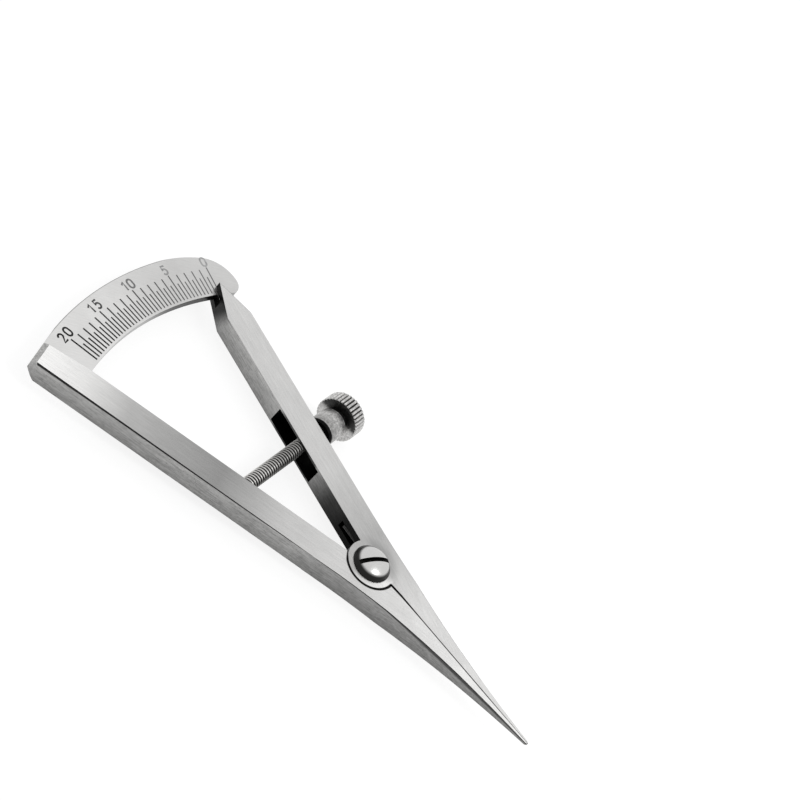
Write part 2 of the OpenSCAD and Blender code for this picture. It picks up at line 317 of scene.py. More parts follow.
def material(name, build, **constants):
    """A metal or filler whose varying sockets come from build, the others being constants."""
    made = bpy.data.materials.new(name)
    graph = empty_graph(made)
    sockets = {**constants, **build(graph)}
    relief = sockets.pop("Relief", None)
    if relief:
        height, depth = relief
        sockets["Normal"] = graph.node(
            "ShaderNodeBump", None, {"Strength": 1.0, "Distance": depth * MM, "Height": height})
    shader = graph.node("ShaderNodeBsdfPrincipled", None, sockets)
    graph.node("ShaderNodeOutputMaterial", None, {"Surface": shader})
    return made


def grain_axes(x, y, side):
    """Distances across and along a leg."""
    across = x * (side * math.cos(LEG_A)) - y * math.sin(LEG_A)
    along = x * (side * math.sin(LEG_A)) + y * math.cos(LEG_A)
    return across, along


def half_thickness(y):
    """Half the thickness of a leg, which tapers toward its tip."""
    return HALF_T - (y * -1 - TAPER_START).math("MAXIMUM", 0.0) * TAPER


# Tints of the metal at full level
CLEAN = (1, 0.995, 0.985)
GROUND = (1, 0.995, 0.98)
TURNED = (1, 0.99, 0.975)
DRAWN = (1, 0.99, 0.97)
OILED = (1, 0.985, 0.96)
MILLED = (1, 0.97, 0.93)
WHITE = (1, 1, 1)

# Painted light and shade along the ground faces, standing for the changing brightness of their reflections,
# as (V, level) stops within a stretch that starts at TONES_V
TONES_V = -40
TONES_LEN = 100
FIXED_PAINTED_LIGHT = [(-35, 0.9), (-8, 0.71), (14, 0.56), (26, 0.29), (42, 0.45), (50, 0.78), (58, 0.95)]
MOVING_PAINTED_LIGHT = [(-35, 0.74), (-8, 0.67), (4, 0.44), (16, 0.58), (52, 0.61)]


def disc_sheen(x, y, z, radius):
    """Painted highlight as a bright crescent on a disc below its screw, and painted shade as a darker patch
    beside the screw on the front.
    """
    outward = x * z / HALF_T
    crescent = radius.step(4.3, 4.0) * (outward * -0.74 - y * 0.67).step(1.4, 3.0)
    patch = radius.step(5.2, 3.2) * (x * 0.95 - y * 0.3).step(0.5, 3.0) * (z > 0)
    return crescent * 0.4 - patch * 0.3


def oil_lines(x, y, z, radius):
    """Painted shade along the seam round a disc and along the parting of the tips, widening their dark gap
    lines.
    """
    half_gap = BOSS_GAP / 2
    seam = abs(radius - BOSS_R - half_gap).step(half_gap + 0.12, half_gap + 0.05)
    seam = seam * (x * z).step(0.3, 0.0) * y.step(3.6, 3.0)
    widening = y.step(-12, -4) * 0.13
    parting = (abs(x) - widening).step(0.13, 0.08) * y.step(-4.0, -4.3) * y.step(-34, -24)
    return seam.math("MAXIMUM", parting) * 0.85


def brushed_face(side, painted_stops):
    """Ground face of a leg with fine streaks along it, and painted light and shade along the leg, round the
    disc and along the gaps.
    """
    def build(g):
        x, y, z, place = g.place()
        across, along = grain_axes(x, y, side)
        radius = (x * x + y * y) ** 0.5
        streak = g.streaks((across, along, z), (9, 0.22, 3), 6, 0.62)
        hair = g.streaks((across, along, z), (34, 0.9, 9), 3, 0.6)
        cloud = g.noise(place, 0.16, 2, 0.5)
        grit = g.noise(place, 7.0, 2, 0.6)
        stops = [((v - TONES_V) / TONES_LEN, painted_level) for v, painted_level in painted_stops]
        # painted light and shade along the leg
        painted_level = g.ramp((along - TONES_V) / TONES_LEN, stops)
        marks = streak.swing(0.45) + hair.swing(0.45) + cloud.swing(0.2) + grit.swing(0.5)
        level = painted_level * (1 + marks) * (1 + disc_sheen(x, y, z, radius)) * (1 - oil_lines(x, y, z, radius))
        return {
            "Base Color": g.shade(level, CLEAN),
            "Roughness": 0.33 + streak.swing(0.16) + cloud.swing(0.14),
            "Relief": (streak * 0.6 + hair * 0.4, 0.006)}
    return build


def ground_side(side, base, lightening=0.0):
    """Side of a leg, its low level partly a less polished finish and partly painted shade, with painted
    shade and light in places; the third argument is how much a strip's painted dark is lifted near the
    pivot.
    """
    def build(g):
        x, y, z, place = g.place()
        across, along = grain_axes(x, y, side)
        streak = g.streaks((across, along, z), (5, 0.45, 8), 5, 0.7)
        mottle = g.noise(place, 1.9, 4, 0.65)
        specks = g.noise(place, 5.5, 2, 0.5).step(0.64, 0.72)
        to_tip = y.step(0, -30)
        # painted shade along the top of the side from the pivot to the tip, taller toward the tip
        painted_flank_shade = (z / half_thickness(y)).step(0.95 + to_tip * -0.9, 1.0 + to_tip * -0.5)
        painted_flank_shade = painted_flank_shade * along.step(9, 4) * 0.75
        # painted shade in the crevice between the legs near the pivot
        painted_crevice_shade = (along.step(19.5, 11.0) * 0.9 + along.step(11, 7) * 0.08) * across.step(2.4, 1.2)
        level = base * (1 + streak.swing(2.1) + mottle.swing(0.7))
        # the specks are the metal's own; the rest darkens with painted shade in the crevice and toward the
        # pivot
        level = level * (1 - specks * 0.5) * (1 - painted_crevice_shade) * (1 - along.step(13, 6) * 0.2)
        # lifts the strip's painted dark near its start, close to the pivot
        if lightening:
            level = level * (1 + lightening * along.step(14, 9) * along.step(7.6, 8.4))
        level = level * (1 - painted_flank_shade)
        if side == MOVING:
            # painted shade in the fork at the nose and round the mouth of the rod's slot
            fork = (along + z * 0.45).step(43.8, 47.3) * 0.97
            painted_slot_shade = along.step(16.8, 17.6) * along.step(28.2, 26.0) * (abs(z) > 1.45) * 0.8
            level = level * (1 - fork) * (1 - painted_slot_shade)
        else:
            # painted highlight on the fixed leg's end facet
            facet = along.step(FACE_END - 0.05, FACE_END + 0.05) * (across < U_OUT - 0.6) * 0.15
            level = level * (1 + facet)
        return {
            # painted light: lighter toward the front, darker toward the rear
            "Base Color": g.shade(level * (1 + z * 0.15), GROUND),
            "Roughness": 0.4 + mottle.swing(0.25) + specks * 0.15,
            "Relief": (streak * 0.7 + mottle * 0.3, 0.012)}
    return build


def slot_wall(g):
    """Milled wall inside a slot, hole or gap, painted near black as painted shade."""
    x, y, z, place = g.place()
    mottle = g.noise(place, 2.2, 4, 0.6)
    return {
        "Base Color": g.shade(0.004 + 0.02 * mottle ** 2, MILLED),
        "Roughness": 0.5 + mottle.swing(0.3),
        "Relief": (mottle, 0.01)}


def parting_face(g):
    """Ground face where the tips meet, with painted shade along its borders that darkens the parting line.
    """
    x, y, z, place = g.place()
    streak = g.streaks((x, y, z), (6, 0.4, 9), 5, 0.65)
    # painted shade near the faces' edges
    border = (abs(z) / half_thickness(y)).step(0.6, 0.8) * 0.97
    level = 0.4 * (1 + streak.swing(0.8)) * (1 - border)
    return {
        "Base Color": g.shade(level, GROUND),
        "Roughness": 0.38 + streak.swing(0.2),
        "Relief": (streak, 0.008)}


def scale_face(g):
    """Ground plate with fine straight scratches, with painted shade on its edge walls, deepest near the
    zero mark, a darker outer rim, and painted shade toward the zero mark.
    """
    x, y, z, place = g.place()
    grain = (x + y, y - x, z)
    streak = g.streaks(grain, (6, 0.25, 3), 5, 0.62)
    hair = g.streaks(grain, (26, 1.1, 9), 3, 0.6)
    cloud = g.noise(place, 0.2, 2, 0.5)
    radius = (x * x + y * y) ** 0.5
    turn = x.math("ARCTAN2", y)
    near_zero = turn.step(0.0, 0.16) * (turn < ZERO_A + 0.03) * (radius < SCALE_RI + 0.4)
    # painted shade on the edge walls, deepest near the zero mark
    edge = (abs(z) < SCALE_FACE - 0.05) * (0.45 + 0.52 * near_zero)
    rim = radius.step(SCALE_RO - 0.2, SCALE_RO - 0.02) * turn.step(-0.28, -0.25) * 0.7
    level = 0.7 * (1 + streak.swing(0.3) + hair.swing(0.2) + cloud.swing(0.24))
    # painted shade toward the zero mark
    level = level * (1 - edge.math("MAXIMUM", rim)) * (1 - turn.step(-0.1, 0.25) * 0.16)
    return {
        "Base Color": g.shade(level, CLEAN),
        "Roughness": 0.34 + streak.swing(0.16) + cloud.swing(0.1),
        "Relief": (streak * 0.6 + hair * 0.4, 0.005)}


def black_fill(least, most):
    """Black filling of the engraved marks, painted lighter from the last mark (least) to the zero mark
    (most), standing for the grooves' changing reflection.
    """
    def build(g):
        x, y, z, place = g.place()
        # painted lightening toward the zero mark
        lightening = x.math("ARCTAN2", y).step(-ZERO_A, ZERO_A) ** 1.7
        patch = g.noise(place, 2.0, 3, 0.6)
        level = 0.004 + (least + (most - least) * lightening) * (0.4 + 1.2 * patch)
        return {
            "Base Color": g.shade(level, WHITE),
            "Metallic": lightening,
            "Roughness": 0.55 + patch.swing(0.3)}
    return build


def bright_dome(g):
    """Polished screw head with faint turning rings, hairline scratches and a rim painted dark as painted
    shade on its steep side.
    """
    x, y, z, place = g.place()
    radius = (x * x + y * y) ** 0.5
    rings = g.streaks((radius, z), (16, 2), 2, 0.5)
    scratch = g.noise(g.vector(x * 3 + y * 14, y * 2 - x * 0.6, z), 1.0, 4, 0.6)
    # painted shade on the rim
    rim = radius.step(2.3, 2.7) * 0.95
    level = 0.6 * (1 + scratch.swing(0.2) + rings.swing(0.1)) * (1 - rim)
    return {
        "Base Color": g.shade(level, CLEAN),
        "Roughness": 0.26 + scratch.swing(0.08),
        "Relief": (rings * 0.7 + scratch * 0.3, 0.0015)}


def rod_axes(g):
    """Distances along the rod from its pin and across it, height, radius from its axis, and the vector."""
    x, y, z, place = g.place()
    along = (x - PIN.x) * ROD_DIR.x + (y - PIN.y) * ROD_DIR.y
    across = (y - PIN.y) * ROD_DIR.x - (x - PIN.x) * ROD_DIR.y
    return along, across, z, (across * across + z * z) ** 0.5, place


def turned_nut(g):
    """Bright turned and knurled steel, with painted shade in the knurl's roots and at the bearing, a
    painted dark reflection on the inner face, a painted highlight at the hub's lip and painted shade toward
    the bearing end.
    """
    along, across, z, radius, place = rod_axes(g)
    from_hub = along - HUB_S
    rings = g.streaks((along, radius), (9, 9), 4, 0.6)
    fleck = g.noise(place, 2.6, 4, 0.65)
    grain = g.noise(place, 6.5, 3, 0.6)
    # painted dark reflection on the upper part of the wheel's inner face, and painted shade in the knurl's
    # roots and at the bearing
    shaded = (z + across * 0.06 + fleck.swing(2.4)).step(0.1, 1.1)
    root = radius.step(WHEEL_R - 0.05, WHEEL_R - 0.28) * (from_hub > WHEEL_S + 0.1)
    inner = (from_hub > HUB_LEN + 0.01) * (from_hub < WHEEL_S + 0.06) * (0.1 + 0.9 * shaded)
    bearing = from_hub.step(HUB_BEVEL + 0.06, HUB_BEVEL - 0.06)
    dark = (root * 0.85).math("MAXIMUM", inner * 0.9).math("MAXIMUM", bearing * 0.96)
    marks = rings.swing(0.5) + fleck.step(0.36, 0.64).swing(0.5) + grain.step(0.36, 0.64).swing(0.4)
    # painted highlight at the hub's lip, painted shade toward the bearing end
    lip = from_hub.step(HUB_LEN - 0.5, HUB_LEN - 0.15) * (from_hub < HUB_LEN + 0.01) * 0.45
    painted_hub_shade = from_hub.step(3.6, 0.6) * 0.42
    level = 0.55 * (1 + marks) * (1 - dark) * (1 + lip) * (1 - painted_hub_shade)
    return {
        "Base Color": g.shade(level, TURNED),
        "Roughness": 0.36 + rings.swing(0.16) + fleck.swing(0.2),
        "Relief": (rings * 0.5 + grain * 0.5, 0.012)}


def cut_thread(g):
    """Thread with bright crests, roots painted near black as shade, painted shade along its lower side and
    toward the moving leg's slot, and a ground end.
    """
    along, across, z, radius, place = rod_axes(g)
    fleck = g.noise(place, 3.2, 4, 0.6)
    crest = radius.step(ROD_R - 0.17, ROD_R - 0.03)
    # painted shade along the rod's lower side
    painted_low_shade = (across * -0.73 - z * 0.54).step(-0.3, 0.9)
    shaded = along.step(6, 13) * 0.45
    thread = (0.006 + 0.7 * crest * (1 - painted_low_shade * 0.8)) * (1 + fleck.swing(0.8)) * (1 - shaded)
    end = along.step(ROD_LEN - 0.12, ROD_LEN - 0.06)
    level = thread * (1 - end) + end * 0.45 * (1 + fleck.swing(0.6))
    return {
        "Base Color": g.shade(level, OILED),
        "Roughness": 0.3 + fleck.swing(0.2),
        "Relief": (fleck, 0.006)}


def drawn_wire(g):
    """Drawn spring wire, dark all over, with die lines."""
    x, y, z, place = g.place()
    lines = g.streaks((x, y, z), (7, 0.7, 16), 4, 0.6)
    fleck = g.noise(place, 2.4, 3, 0.6)
    return {
        "Base Color": g.shade(0.07 * (1 + lines.swing(0.8) + fleck.swing(1.2)), DRAWN),
        "Roughness": 0.32 + fleck.swing(0.2),
        "Relief": (lines, 0.006)}


METAL = {"Metallic": 1.0}
DULL = {"Specular IOR Level": 0.08}
FIXED_FACE = material("fixed_leg_face", brushed_face(FIXED, FIXED_PAINTED_LIGHT), **METAL)
MOVING_FACE = material("moving_leg_face", brushed_face(MOVING, MOVING_PAINTED_LIGHT), **METAL)
# the sides' low base levels are partly a less polished finish and partly painted shade
FIXED_SIDE = material("fixed_leg_side", ground_side(FIXED, 0.285), **METAL)
MOVING_SIDE = material("moving_leg_side", ground_side(MOVING, 0.3), **METAL)
# the fixed leg's edge strip, painted near black as a painted dark reflection
DARK_EDGE = material("dark_edge", ground_side(FIXED, 0.03, 6.0), **METAL)
SLOT_WALL = material("slot_wall", slot_wall, **METAL)
PARTING = material("parting_face", parting_face, **METAL)
SCALE = material("scale_plate", scale_face, **METAL)
FILL = material("graduation_fill", black_fill(0.0, 0.16), **DULL)
NUMERAL_FILL = material("numeral_fill", black_fill(0.01, 0.4), **DULL)
BRIGHT = material("polished_screw", bright_dome, **METAL)
NUT = material("turned_nut", turned_nut, **METAL)
THREAD = material("cut_thread", cut_thread, **METAL)
WIRE = material("spring_wire", drawn_wire, **METAL)


def add_object(name, data=None):
    """A new object, with an empty mesh where no data is given."""
    if data is None:
        data = bpy.data.meshes.new(name)
    made = bpy.data.objects.new(name, data)
    bpy.context.collection.objects.link(made)
    return made


def from_bmesh(name, bm):
    """A new object with the mesh that bm holds."""
    made = add_object(name)
    bm.to_mesh(made.data)
    bm.free()
    return made


def path_object(name, paths):
    """A curve object along straight-sided paths, each a weight and its points."""
    curve = bpy.data.curves.new(name, "CURVE")
    curve.dimensions = "3D"
    for weight, places in paths:
        spline = curve.splines.new("POLY")
        spline.points.add(len(places) - 1)
        for point, place in zip(spline.points, places):
            point.co = (*place, 1)
            point.radius = weight
    return add_object(name, curve)


def finished_mesh(made):
    """The plain mesh of an object with its modifiers applied."""
    bpy.context.view_layer.update()
    graph = bpy.context.evaluated_depsgraph_get()
    return bpy.data.meshes.new_from_object(made.evaluated_get(graph))


def taken_mesh(helper):
    """The finished mesh of a helper object, which is then removed."""
    mesh = finished_mesh(helper)
    bpy.data.objects.remove(helper)
    return mesh


def settle(piece, body, slot, *nodes, crease=32, place=None):
    """Bakes a piece made in millimetres from the pivot, puts it in the frame and lets it ride on a body."""
    mesh = finished_mesh(piece)
    piece.modifiers.clear()
    piece.data = mesh
    if place is not None:
        mesh.transform(place)
    mesh.transform(Matrix.Translation(PIVOT) @ Matrix.Scale(MM, 4))
    mesh.shade_smooth()
    mesh.set_sharp_from_angle(angle=math.radians(crease))
    if body:
        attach(piece, body)
    if nodes:
        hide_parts(*nodes)


def round_edges(piece, width, weight=lambda edge: 1.0):
    """Rounds the sharp edges; weight gives an edge's share of the width."""
    bm = bmesh.new()
    bm.from_mesh(piece.data)
    share = bm.edges.layers.float.new("bevel_weight_edge")
    for edge in bm.edges:
        sharp = len(edge.link_faces) == 2 and edge.calc_face_angle() > math.radians(20)
        edge[share] = weight(edge) if sharp else 0.0
    bm.to_mesh(piece.data)
    bm.free()
    edges = piece.modifiers.new("edges", "BEVEL")
    edges.limit_method = "WEIGHT"
    edges.width = width
    edges.segments = 2


def carve(piece, cutter):
    """Cuts a helper's shape out of a piece when the piece is settled."""
    cut = piece.modifiers.new("cut", "BOOLEAN")
    cut.operation = "DIFFERENCE"
    cut.solver = "EXACT"
    cut.object = cutter


def solid_copy(node):
    """A merged copy of a CAD node, in millimetres from the pivot, with plain faces."""
    bm = bmesh.new()
    bm.from_mesh(frame["nodes"][node].data)
    bmesh.ops.transform(bm, matrix=Matrix.Scale(1 / MM, 4) @ Matrix.Translation(-PIVOT), verts=bm.verts)
    bmesh.ops.remove_doubles(bm, verts=bm.verts, dist=SLIVER / 4)
    bmesh.ops.dissolve_limit(
        bm, angle_limit=math.radians(0.6), use_dissolve_boundaries=False, verts=bm.verts, edges=bm.edges)
    for face in bm.faces:
        face.smooth = True
        face.material_index = 0
    return bm


# Finishes of a leg: ground face, side, wall of a slot, hole or gap in painted shade, edge strip with a
# painted dark reflection, parting of the tips
FACE, SIDE, WALL, STRIP, MEETING = range(5)


def leg_finish(face, side):
    """Which of a leg's finishes a face has, told by its place and slope."""
    middle = face.calc_center_median()
    across, along = grain_axes(middle.x, middle.y, side)
    flatness = abs(face.normal.z)
    upright = flatness < 0.2
    corners = [v.co for v in face.verts]
    inside = max(abs(c.z) for c in corners) < INNER_T
    at_side = abs(across - U_IN) < NEAR or across > U_OUT - 0.5
    if upright and all(BOSS_R - 0.15 < c.xy.length < BOSS_R + 0.4 for c in corners):
        return WALL
    if upright and side == FIXED and (middle.xy - PIN.xy).length < PIN_HOLE_R + 0.16:
        return WALL
    if upright and all(abs(c.x) < 0.2 and c.y < -3 for c in corners):
        return MEETING
    if side == FIXED and 0.6 < flatness < 0.8 and across > U_OUT - 0.7 and along > STRIP_V - 0.5:
        return STRIP
    if side == FIXED and along > FACE_END and flatness < 0.98:
        return SIDE
    if flatness > 0.85 and not inside:
        return FACE
    if inside and ((along > 4 and not at_side) or middle.xy.length < BOSS_R + 0.35):
        return WALL
    return SIDE


def leg_ways(side):
    """Unit vectors across and along a leg."""
    across = Vector((side * math.cos(LEG_A), -math.sin(LEG_A), 0))
    along = Vector((side * math.sin(LEG_A), math.cos(LEG_A), 0))
    return across, along


def raise_fork_floor(bm):
    """Slides the floor of the moving leg's fork up along the fork's walls."""
    along = leg_ways(MOVING)[1]
    for v in bm.verts:
        if abs(v.co.dot(along) - FORK_FLOOR_V) < NEAR and abs(v.co.z) < 1:
            above = max((e.other_vert(v).co for e in v.link_edges), key=along.dot)
            share = (FORK_SEEN_V - FORK_FLOOR_V) / (above.dot(along) - FORK_FLOOR_V)
            v.co = v.co.lerp(above, share)


def narrow_strip(bm):
    """Narrows the bevel along the fixed leg's outer edges; places are across, along and up."""
    across, along = leg_ways(FIXED)
    start, end = SOLID_STRIP
    seen_start, seen_end = SEEN_STRIP
    seen_corner = (U_OUT - seen_end, FACE_END, HALF_T)
    side_end = FACE_END - 0.25
    moves = [
        ((U_OUT - end, FACE_END, HALF_T), seen_corner),
        ((CORNER_U, CORNER_V, CORNER_Z), seen_corner),
        ((U_OUT, side_end, HALF_T - end), (U_OUT, side_end, HALF_T - SEEN_DROP)),
        ((U_OUT, STRIP_V, HALF_T - start), (U_OUT, STRIP_V, HALF_T - seen_start)),
        ((U_OUT - start, STRIP_V, HALF_T), (U_OUT - seen_start, STRIP_V, HALF_T))]
    for v in bm.verts:
        place = Vector((v.co.dot(across), v.co.dot(along), abs(v.co.z)))
        for old, new in moves:
            if (place - Vector(old)).length < NEAR / 2:
                v.co = across * new[0] + along * new[1] + Vector((0, 0, math.copysign(new[2], v.co.z)))
    bmesh.ops.remove_doubles(bm, verts=bm.verts, dist=SLIVER)


def cut_end_corner(bm):
    """Takes off the lower outer corner of the fixed leg's end."""
    across, along = leg_ways(FIXED)
    axes = Matrix((across, along, (0, 0, 1))).transposed()
    corner = Vector((CORNER_U, CORNER_V, -CORNER_Z))
    cut = bmesh.ops.bisect_plane(
        bm, geom=bm.verts[:] + bm.edges[:] + bm.faces[:], clear_outer=True,
        plane_co=axes @ (corner - CORNER_WAY * CORNER_CUT), plane_no=axes @ CORNER_WAY)
    rim = [item for item in cut["geom_cut"] if isinstance(item, bmesh.types.BMEdge)]
    bmesh.ops.contextual_create(bm, geom=rim)


def slope_tip(bm):
    """Slopes the end of a tip back from the parting, so that the closed pair ends in a blunt point."""
    for v in bm.verts:
        if v.co.y < NEAR - TIP_LEN:
            back = (abs(v.co.x) - TIP_GAP / 2) * TIP_SLOPE
            v.co.y += back
            v.co.z += math.copysign(back * TAPER, v.co.z)


def make_leg(node, side, face_finish, side_finish):
    """A leg from its solid, with its small shapes corrected and its edges rounded."""
    bm = solid_copy(node)
    slope_tip(bm)
    if side == FIXED:
        narrow_strip(bm)
        cut_end_corner(bm)
    else:
        raise_fork_floor(bm)
    bm.normal_update()
    for face in bm.faces:
        face.material_index = leg_finish(face, side)
    piece = from_bmesh(node + "_ground", bm)
    for finish in (face_finish, side_finish, SLOT_WALL, DARK_EDGE, PARTING):
        piece.data.materials.append(finish)

    def share(edge):
        if {face.material_index for face in edge.link_faces} != {FACE, SIDE}:
            return 0.0
        if side == FIXED and any(abs(v.co.xy.length - STRIP_R) < 0.2 for v in edge.verts):
            return STRIP_SHARE
        return TIP_SHARE if max(v.co.y for v in edge.verts) < THIN_Y else 1.0

    round_edges(piece, LEG_ROUND, share)
    settle(piece, node, "leg_steel", node, crease=14)
    # The rounded outer edges go on from the strip, painted dark, on the fixed leg, and from the side on the
    # moving leg
    for face in piece.data.polygons:
        rounded = 0.15 < abs(face.normal.z) < 0.97 and face.area < 2 * MM * MM
        outer = face.normal.x * side > 0.15 and face.center.y < PIVOT.y + 50 * MM
        if rounded and outer and face.material_index in (FACE, SIDE):
            face.material_index = STRIP if side == FIXED else SIDE


def make_scale():
    """The scale's plate from its solid."""
    piece = from_bmesh("scale_plate", solid_copy("scale_arc"))
    piece.data.materials.append(SCALE)
    round_edges(piece, SCALE_ROUND)
    settle(piece, "fixed_leg", "scale_steel", "scale_arc", crease=14)


def make_pin():
    """The rod's pin, ground flush with the leg and just filling its hole."""
    piece = from_bmesh("rod_pin_flush", solid_copy("rod_pin"))
    piece.data.materials.append(FIXED_FACE)
    fill = Matrix.Diagonal((PIN_FILL, PIN_FILL, 1, 1))
    piece.data.transform(Matrix.Translation(PIN) @ fill @ Matrix.Translation(-PIN))
    settle(piece, "fixed_leg", "leg_steel", "rod_pin")


def new_tree(name, **inputs):
    """A geometry tree with named inputs; a value gives its input's kind, and None means a geometry."""
    tree = bpy.data.node_groups.new(name, "GeometryNodeTree")
    kinds = {int: "NodeSocketInt", float: "NodeSocketFloat", type(None): "NodeSocketGeometry"}
    for key, value in inputs.items():
        made = tree.interface.new_socket(name=key, in_out="INPUT", socket_type=kinds[type(value)])
        if value is not None:
            made.default_value = value
    tree.interface.new_socket(name="Geometry", in_out="OUTPUT", socket_type="NodeSocketGeometry")
    graph = Graph(tree)
    entry = graph.node("NodeGroupInput")
    return graph, {key: entry.other(key) for key in inputs}


def close_tree(graph, geometry, finish):
    """Ends a geometry tree in plain geometry with a finish."""
    whole = graph.node("GeometryNodeRealizeInstances", None, {0: geometry})
    dressed = graph.node("GeometryNodeSetMaterial", None, {"Geometry": whole, "Material": finish})
    graph.node("NodeGroupOutput", None, {0: dressed})
    return graph.tree


def grow(piece, tree, **inputs):
    """Gives an object the mesh that a geometry tree makes; inputs left out keep the tree's values."""
    growth = piece.modifiers.new("growth", "NODES")
    growth.node_group = tree
    sockets = {item.name: item.identifier for item in tree.interface.items_tree}
    for key, value in inputs.items():
        growth[sockets[key]] = value
    return piece


def tick_tree():
    """Graduation marks of an arc: one bar for each half unit, longer at whole units and at fives."""
    g, size = new_tree(
        "graduation_marks", Count=2 * READING_MAX + 1, Step=0.5, Reach=TIP_LEN, Zero=ZERO_A, Root=MARK_ROOT,
        Half=3.0, Whole=4.5, Five=4.75, Width=0.29, Thin=0.2, Level=SCALE_FACE, Height=MARK_H)
    index = g.node("GeometryNodeInputIndex")
    reading = index * size["Step"]
    angle = size["Zero"] - 2 * (reading / (2 * size["Reach"])).math("ARCSINE")
    whole = (index % 2) < 0.5
    five = (index % 10) < 0.5
    length = size["Half"] + whole * (size["Whole"] - size["Half"]) + five * (size["Five"] - size["Whole"])
    radius = size["Root"] + length / 2
    width = size["Thin"] + (size["Width"] - size["Thin"]) * (index / (size["Count"] - 1))
    row = g.node("GeometryNodeMeshLine", None, {"Count": size["Count"], "Offset": (0, 0, 0)})
    spread = g.node("GeometryNodeSetPosition", None, {
        "Geometry": row,
        "Position": g.vector(angle.math("SINE") * radius, angle.math("COSINE") * radius, size["Level"])})
    bar = g.node("GeometryNodeMeshCube", None, {"Size": (1, 1, 1)})
    bars = g.node("GeometryNodeInstanceOnPoints", None, {
        "Points": spread, "Instance": bar,
        "Rotation": g.vector(0.0, 0.0, 0 - angle),
        "Scale": g.vector(width, length, size["Height"])})
    return close_tree(g, bars, FILL)


def arc_points(cx, cy, rx, ry, start, end, steps=14):
    """Points along an arc of an ellipse, from one angle in degrees to another."""
    turns = [math.radians(start + (end - start) * i / steps) for i in range(steps + 1)]
    return [(cx + rx * math.cos(turn), cy + ry * math.sin(turn)) for turn in turns]


# Strokes of the digits in a box DIGIT_W wide and 1 tall
DIGIT_W = 0.62
DIGITS = {
    "0": [arc_points(0.31, 0.66, 0.27, 0.3, 0, 180)
          + arc_points(0.31, 0.34, 0.27, 0.3, 180, 360) + [(0.58, 0.66)]],
    "1": [[(0.1, 0.72), (0.36, 0.96), (0.36, 0.04)]],
    "2": [arc_points(0.3, 0.68, 0.25, 0.27, 165, -25, 12) + [(0.07, 0.05), (0.58, 0.05)]],
    "5": [[(0.53, 0.95), (0.13, 0.95), (0.1, 0.54)] + arc_points(0.29, 0.34, 0.26, 0.29, 128, -150)],
}
DIGIT_H = 1.7
DIGIT_R = 55.05
STROKE_W = 0.33

# Each numeral's step from digit to digit, and the weight of its strokes
NUMERALS = {0: (0.0, 0.65), 5: (0.0, 0.7), 10: (1.28, 0.75), 15: (1.45, 0.8), 20: (1.62, 1.0)}


def numeral_strokes(face):
    """Stroke paths of the numerals on the front (1) or rear (-1) of the scale, each with its weight."""
    paths = []
    for reading, (step, weight) in NUMERALS.items():
        angle = ZERO_A - 2 * math.asin(reading / 2 / TIP_LEN)
        out = Vector((math.sin(angle), math.cos(angle), 0))
        right = Vector((math.cos(angle), -math.sin(angle), 0)) * face
        level = Vector((0, 0, face * SCALE_FACE))
        word = str(reading)
        for i, digit in enumerate(word):
            shift = (i - (len(word) - 1) / 2) * step - DIGIT_W / 2 * DIGIT_H
            for stroke in DIGITS[digit]:
                paths.append((weight, [
                    out * (DIGIT_R + b * DIGIT_H) + right * (shift + a * DIGIT_H) + level
                    for a, b in stroke]))
    return paths


def stroke_tree():
    """Flat bars along the strokes of the numerals."""
    g, size = new_tree("numeral_strokes", Strokes=None, Width=STROKE_W, Height=MARK_H)
    level = g.node("GeometryNodeSetCurveNormal", {"mode": "Z_UP"}, {"Curve": size["Strokes"]})
    bar = g.node("GeometryNodeCurvePrimitiveQuadrilateral", None, {
        "Width": size["Width"], "Height": size["Height"]})
    bars = g.node("GeometryNodeCurveToMesh", None, {
        "Curve": level, "Profile Curve": bar, "Fill Caps": True})
    return close_tree(g, bars, NUMERAL_FILL)


def make_graduations():
    """Graduation marks and numerals on both faces of the scale."""
    ticks = tick_tree()
    strokes = stroke_tree()
    for face, side in ((1, "front"), (-1, "rear")):
        marks = grow(add_object("graduations_" + side), ticks, Level=face * SCALE_FACE)
        settle(marks, "fixed_leg", "scale_steel")
        mesh = taken_mesh(grow(path_object("numeral_paths_" + side, numeral_strokes(face)), strokes))
        settle(add_object("numerals_" + side, mesh), "fixed_leg", "scale_steel")


def lathe(name, profile, segments=96):
    """Closed turned solid: profile is (radius, height) points round the section, axis Z."""
    bm = bmesh.new()
    turns = [2 * math.pi * i / segments for i in range(segments)]
    rings = []
    for radius, height in profile:
        if radius > 0:
            places = [(radius * math.cos(turn), radius * math.sin(turn), height) for turn in turns]
            rings.append([bm.verts.new(place) for place in places])
        else:
            rings.append([bm.verts.new((0, 0, height))])
    hollow = len(rings[0]) > 1 and len(rings[-1]) > 1
    pairs = list(zip(rings, rings[1:])) + ([(rings[-1], rings[0])] if hollow else [])
    for a, b in pairs:
        for i in range(segments):
            j = (i + 1) % segments
            corners = []
            for v in (a[i % len(a)], a[j % len(a)], b[j % len(b)], b[i % len(b)]):
                if v not in corners:
                    corners.append(v)
            if len(corners) > 2:
                bm.faces.new(corners)
    bmesh.ops.recalc_face_normals(bm, faces=bm.faces)
    return from_bmesh(name, bm)


def dome(radius, rise, steps, base):
    """Profile points of a dome from its rim to its crown."""
    ball = (radius * radius + rise * rise) / (2 * rise)
    half = math.asin(radius / ball)
    turns = [half * (1 - i / steps) for i in range(steps + 1)]
    return [(ball * math.sin(turn), base + rise - ball + ball * math.cos(turn)) for turn in turns]


def slot_cutter(floor):
    """A bar that cuts the screw's slot down to its floor."""
    height = 4
    bm = bmesh.new()
    bmesh.ops.create_cube(bm, size=1.0)
    bmesh.ops.scale(bm, vec=(20, SLOT_W, height), verts=bm.verts)
    bmesh.ops.translate(bm, vec=(0, 0, floor + height / 2), verts=bm.verts)
    bmesh.ops.rotate(bm, matrix=Matrix.Rotation(SLOT_TURN, 3, "Z"), verts=bm.verts)
    return from_bmesh("slot_cutter", bm)


